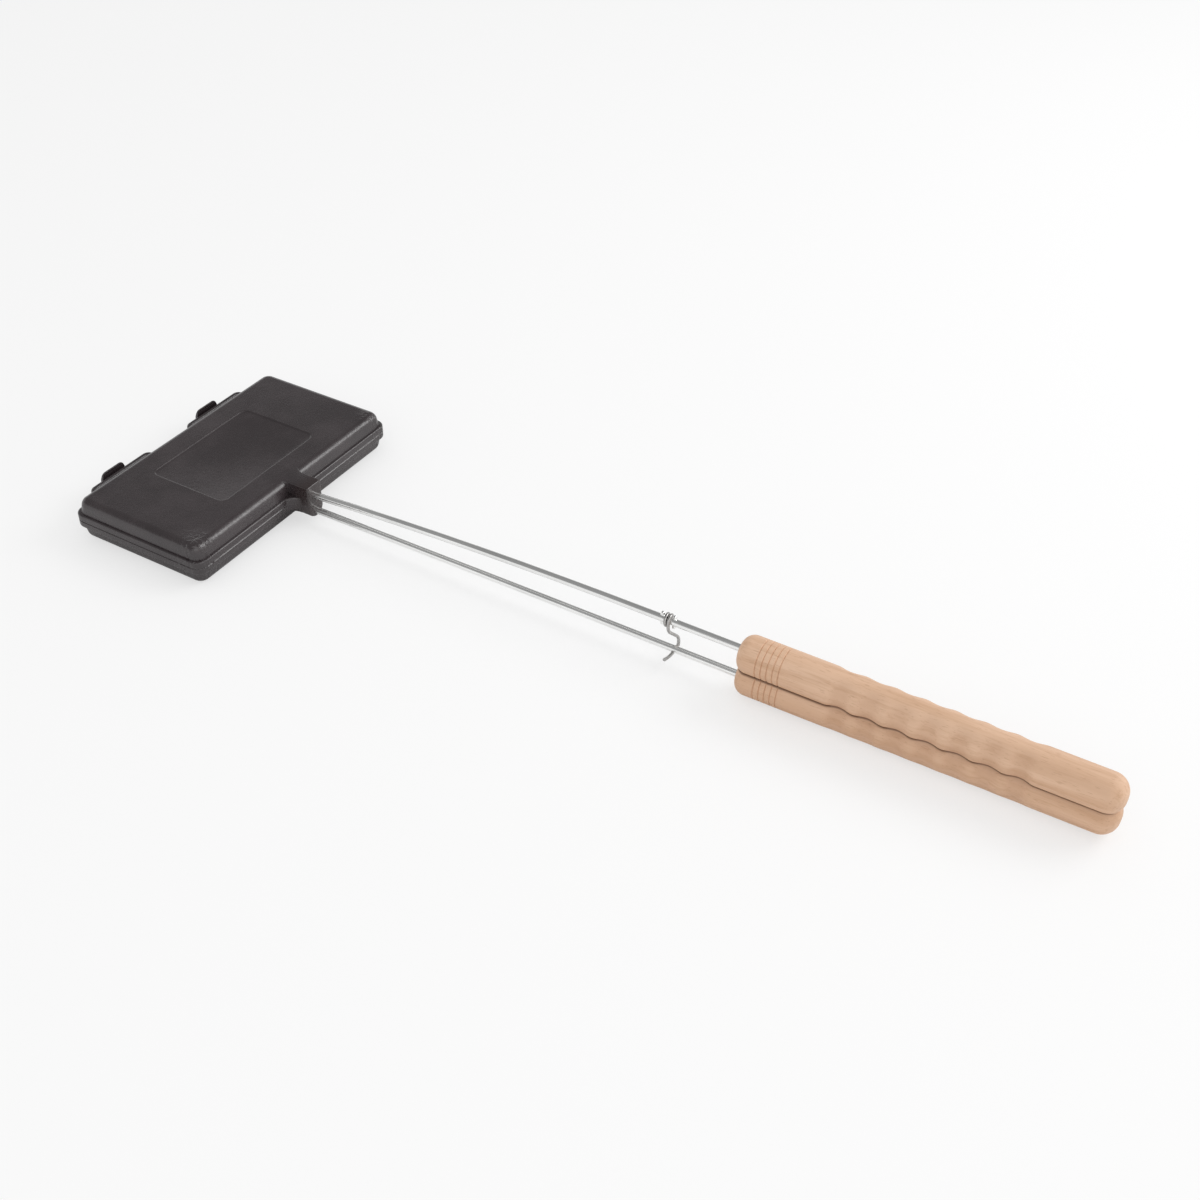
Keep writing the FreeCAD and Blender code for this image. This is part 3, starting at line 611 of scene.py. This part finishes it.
def tongue_rings(middle):
    """The tongue's side view carried along Y, with the tab's upper corners rounded."""
    outline = tongue_outline()
    tab = TONGUE_TOP - BAR_HEIGHT
    rings = []
    for i in range(TONGUE_STEPS + 1):
        y = middle + (i / TONGUE_STEPS - 0.5) * TONGUE_WIDTH
        over = max(TONGUE_CORNER - (TONGUE_WIDTH / 2 - abs(y - middle)), 0.0)
        drop = TONGUE_CORNER - math.sqrt(max(TONGUE_CORNER ** 2 - over ** 2, 0))
        ring = []
        for x, z in outline:
            if z > BAR_HEIGHT:
                z = BAR_HEIGHT + (z - BAR_HEIGHT) * (tab - drop) / tab
            ring.append((x, y, z))
        rings.append(ring)
    return rings


def placed(rings, way):
    """Rings with heights up (1) or down (-1) from the parting plane, carried to the frame."""
    return [[(HEAD + x, y, PARTING + way * w) for x, y, w in ring] for ring in rings]


def make_pans(material):
    """Both pans: the same shell, with a neck and loops above, a neck and tongues below."""
    shell, top_inset = pan_rings()

    # The upper neck is flush with the pan's top. Known fault: it starts inside the cavity and
    # reaches down to the parting plane, so its block shows in the upper pan when it is open
    upper_neck = neck_rings(line=HALF_DEPTH - top_inset - 0.3, flare=8.5,
                            height=PAN_HEIGHT + 0.02, edge=1.1)

    # The flares at the rim and by the lower neck are a little narrower and shorter than the
    # necks, so that their side and end faces don't coincide
    rim_flare = neck_rings(line=HALF_DEPTH - 0.5, flare=10.0, height=FLANGE_HEIGHT - 0.1,
                           edge=1.2, half=NECK_HALF - 0.1, end=NECK_END - 3)
    deep_flare = neck_rings(line=HALF_DEPTH - 3.5, flare=9.0, height=9.0,
                            edge=3.0, half=NECK_HALF - 0.15, end=65)

    upper = [shell, upper_neck, rim_flare, *map(loop_rings, LOOP_MIDDLES)]
    lower = [shell, round_neck_rings(), rim_flare, deep_flare]
    upper = [placed(rings, 1) for rings in upper]
    lower = [placed(rings, -1) for rings in lower]
    lower += [placed(tongue_rings(middle), 1) for middle in TONGUE_MIDDLES]
    for node, body, parts in (("upper_pan", "upper_half", upper),
                              ("lower_pan", "lower_half", lower)):
        made = make_piece(node + "_cast", *join_parts(parts), material, body)
        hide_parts(node)


def along_table(value, table):
    """Carry a value through a table of old and new values, straight between its rows."""
    for (old, new), (next_old, next_new) in zip(table, table[1:]):
        if value <= next_old:
            return new + (value - old) * (next_new - new) / (next_old - old)
    return value


def make_upper_rod(material):
    """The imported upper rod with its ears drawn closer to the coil."""
    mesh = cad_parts["upper_rod"].data.copy()
    made = bpy.data.objects.new("upper_rod_eared", mesh)
    bpy.context.scene.collection.objects.link(made)
    for vertex in mesh.vertices:
        vertex.co.x = along_table(vertex.co.x / MM, EARS) * MM
    mesh.materials.clear()
    mesh.materials.append(material)
    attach(made, "upper_half")
    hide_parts("upper_rod")


def latch_path():
    """The latch's wire: a coil, a strand that crosses between the rods, and a hook."""
    path = []
    for i in range(COIL_STEPS + 1):
        angle = 2 * math.pi * COIL_TURNS * (i / COIL_STEPS - 1)
        along = COIL_PITCH * (angle / (2 * math.pi) + COIL_TURNS / 2)
        path.append(Vector((along, -COIL_RADIUS * math.cos(angle),
                            -COIL_RADIUS * math.sin(angle))))
    leave = path.pop()

    # The hook is an arc round the upper rod's axis; its tangents meet at the peak
    half = (HOOK_LEAD + HOOK_TAIL) / 2
    lean = HOOK_LEAD - half
    peak = HOOK_RADIUS / math.cos(half)
    start = Vector((HOOK_SHIFT, HOOK_RADIUS * math.sin(HOOK_LEAD),
                    -HOOK_RADIUS * math.cos(HOOK_LEAD)))
    stop = Vector((HOOK_SHIFT, -HOOK_RADIUS * math.sin(HOOK_TAIL),
                   -HOOK_RADIUS * math.cos(HOOK_TAIL)))
    meet = (STRAND_SIDE - start.y) / math.cos(HOOK_LEAD)
    corners = [leave, leave - Vector((0, 0, STRAND_DROP)),
               (HOOK_SHIFT, STRAND_SIDE, STRAND_FOOT),
               (HOOK_SHIFT, STRAND_SIDE, start.z + meet * math.sin(HOOK_LEAD)),
               (HOOK_SHIFT, peak * math.sin(lean), -peak * math.cos(lean)),
               stop + Vector((0, -math.cos(HOOK_TAIL), math.sin(HOOK_TAIL))) * HOOK_TIP]
    return path + rounded_run(corners, [*STRAND_BENDS, HOOK_RADIUS], steps=12)


def make_latch(material):
    """The wire round its path, carried to the coil's place on the upper rod."""
    points, faces = bridge(tube(latch_path(), WIRE_RADIUS, sides=16))
    points = [(COIL_PLACE + x, y, UPPER_AXIS + z) for x, y, z in points]
    made = make_piece("latch_wire_bent", points, faces, material, "latch", sharp=50)
    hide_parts("latch_wire")


def smooth(value, low, high):
    """A share from 0 at the low value to 1 at the high one, level at both ends."""
    share = min(max((value - low) / (high - low), 0.0), 1.0)
    return share * share * (3 - 2 * share)


def turned_radius(place):
    """Radius of a handle along its length: blunt nose, cut rings and a domed tail."""
    radius = HANDLE_RADIUS
    if place < NOSE_LENGTH:
        radius -= NOSE_DROP * (1 - math.sqrt(1 - (1 - place / NOSE_LENGTH) ** 2))
    tail = (place - HANDLE_LENGTH) / TAIL_LENGTH + 1
    if tail > 0:
        radius -= TAIL_LENGTH * (1 - math.sqrt(max(1 - tail ** 2, 0)))
    for ring in RING_PLACES:
        radius -= RING_DEPTH * max(1 - abs(place - ring) / RING_HALF, 0)
    return radius


def finger_depth(place):
    """Depth of the finger hollows on a handle's side at a place along it."""
    first, last = FINGER_FIRST, FINGER_FIRST + (FINGER_COUNT - 1) * FINGER_PITCH
    half = FINGER_PITCH / 2
    if not first - half < place < last + half:
        return 0.0
    wave = 0.5 + 0.5 * math.cos(2 * math.pi * (place - first) / FINGER_PITCH)
    ends = smooth(place, first - half, first) * (1 - smooth(place, last, last + half))
    return RIDGE_DEPTH * ends + FINGER_DEPTH * wave


def handle_places():
    """Places of the sections along a handle: close at the nose, the rings and the tail."""
    places = [NOSE_LENGTH * (1 - math.cos(math.radians(90 * i / 12))) for i in range(13)]
    places += [10.0, 13.0]
    for ring in RING_PLACES:
        places += [ring + RING_HALF * step for step in (-1, -0.5, 0, 0.5, 1)]
    start = 33.0
    last = HANDLE_LENGTH - TAIL_LENGTH
    count = 160
    places += [start + (last - start) * i / count for i in range(count + 1)]
    places += [last + TAIL_LENGTH * math.sin(math.radians(90 * i / 15)) for i in range(1, 16)]
    return places


def handle_rings(handle):
    """Sections of a handle, round but for the flat side, from which the angles count."""
    rings = []
    for place in handle_places():
        share = place / HANDLE_LENGTH
        axis = handle.axis + handle.rise * share
        flat = handle.flat + FLAT_RISE * share
        radius = turned_radius(place)
        hollow = finger_depth(place)
        drop = abs(axis - flat)
        cut = radius > drop
        edge = math.acos(drop / radius) if cut else CLOSED_EDGE
        first = edge + EDGE_GAP
        ring = []
        for i in range(ROUND_STEPS + 1):
            angle = first + (2 * math.pi - 2 * first) * i / ROUND_STEPS
            height = math.degrees(math.asin(-math.cos(angle)))
            fade = smooth(height, handle.hollows * FADE_START, handle.hollows)
            reach = radius - hollow * (1 - fade)
            ring.append((HANDLE_FRONT + place, reach * math.sin(angle),
                         axis - handle.way * reach * math.cos(angle)))
        half = max((radius - hollow) * math.sin(edge) - FLAT_INSET, FLAT_LEAST)
        level = flat if cut else axis - handle.way * radius
        ring += [(HANDLE_FRONT + place, half * (2 * i / FLAT_STEPS - 1), level)
                 for i in range(FLAT_STEPS + 1)]
        rings.append(ring)
    return rings


def make_handle(handle, material):
    """One turned handle in place of its CAD node."""
    points, faces = bridge(handle_rings(handle))
    made = make_piece(handle.node + "_turned", points, faces, material, handle.body, sharp=40)
    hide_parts(handle.node)


def add_camera():
    """The photograph's point of view, fitted to the head, the rods and the handles."""
    azimuth = math.radians(CAMERA_AZIMUTH)
    elevation = math.radians(CAMERA_ELEVATION)
    roll = math.radians(CAMERA_ROLL)
    back = Vector((math.sin(azimuth) * math.cos(elevation),
                   -math.cos(azimuth) * math.cos(elevation), math.sin(elevation)))
    right = Vector((math.cos(azimuth), math.sin(azimuth), 0))
    up = back.cross(right)
    level = right * math.cos(roll) + up * math.sin(roll)
    upright = up * math.cos(roll) - right * math.sin(roll)
    data = bpy.data.cameras.new("photo_camera")
    data.sensor_width = SENSOR_WIDTH
    data.lens = CAMERA_FOCUS / PICTURE_WIDTH * SENSOR_WIDTH
    data.clip_start = 0.01
    camera = bpy.data.objects.new("photo_camera", data)
    bpy.context.scene.collection.objects.link(camera)
    turned = Matrix((level, upright, back)).transposed().to_4x4()
    place = Vector(CAMERA_TARGET) * MM + back * CAMERA_DISTANCE * MM
    camera.matrix_world = Matrix.Translation(place) @ turned
    bpy.context.scene.camera = camera


def add_lamp(name, place, size, power):
    """A lamp with a rectangular face, in metres and watts, that looks at the origin."""
    data = bpy.data.lights.new(name, "AREA")
    data.shape = "RECTANGLE"
    data.size, data.size_y = size
    data.energy = power
    lamp = bpy.data.objects.new(name, data)
    bpy.context.scene.collection.objects.link(lamp)
    lamp.location = place
    lamp.rotation_euler = (-Vector(place)).to_track_quat("-Z", "Y").to_euler()


def add_stage():
    """A wide floor just below the part."""
    mesh = bpy.data.meshes.new("floor")
    half, low = FLOOR_HALF, FLOOR_HEIGHT
    mesh.from_pydata([(-half, -half, low), (half, -half, low), (half, half, low),
                      (-half, half, low)], [], [(0, 1, 2, 3)])
    floor = bpy.data.objects.new("floor", mesh)
    mesh.materials.append(floor_material())
    bpy.context.scene.collection.objects.link(floor)


def set_world():
    """Soft light from all round; in reflections the sky is darker above and to the left."""
    world = bpy.data.worlds.new("studio")
    bpy.context.scene.world = world
    world.use_nodes = True
    nodes = Nodes(world.node_tree)
    calc = nodes.math
    sky = nodes.tree.nodes["Background"]
    sky.inputs["Color"].default_value = (1, 1, 1, 1)
    right, _, up = nodes.parts(nodes.node("ShaderNodeTexCoord").outputs["Generated"])
    low = calc("SUBTRACT", 1.0, nodes.spread(up, 0.10, 0.48))
    bright = calc("MAXIMUM", nodes.spread(right, -0.05, 0.45), low)
    mirrored = calc("ADD", calc("MULTIPLY", bright, SKY_BRIGHT - SKY_DARK),
                    SKY_DARK - SKY_LIGHT)
    path = nodes.node("ShaderNodeLightPath").outputs
    strength = calc("ADD", calc("MULTIPLY", path["Is Camera Ray"], SKY_SEEN - SKY_LIGHT),
                    SKY_LIGHT)
    strength = calc("ADD", strength, calc("MULTIPLY", path["Is Glossy Ray"], mirrored))
    nodes.link(strength, sky.inputs["Strength"])


make_pans(iron_material())
rod = plated_material("plated_rod", tone=(0.97, 0.97, 0.96), rough=0.16)
dress("lower_rod", rod)
make_upper_rod(rod)
make_latch(plated_material("plated_wire", tone=(0.46, 0.45, 0.44), rough=0.22))
make_handle(UPPER_HANDLE, wood_material("beech_upper", seed=1, handle=UPPER_HANDLE))
make_handle(LOWER_HANDLE, wood_material("beech_lower", seed=7, handle=LOWER_HANDLE))

add_camera()
add_stage()
set_world()
add_lamp("key", place=(1.1, 1.1, 1.2), size=(1.2, 0.9), power=13)
add_lamp("fill", place=(0.5, -1.4, 1.3), size=(1.2, 1.2), power=4)
bpy.context.scene.view_settings.view_transform = "Standard"
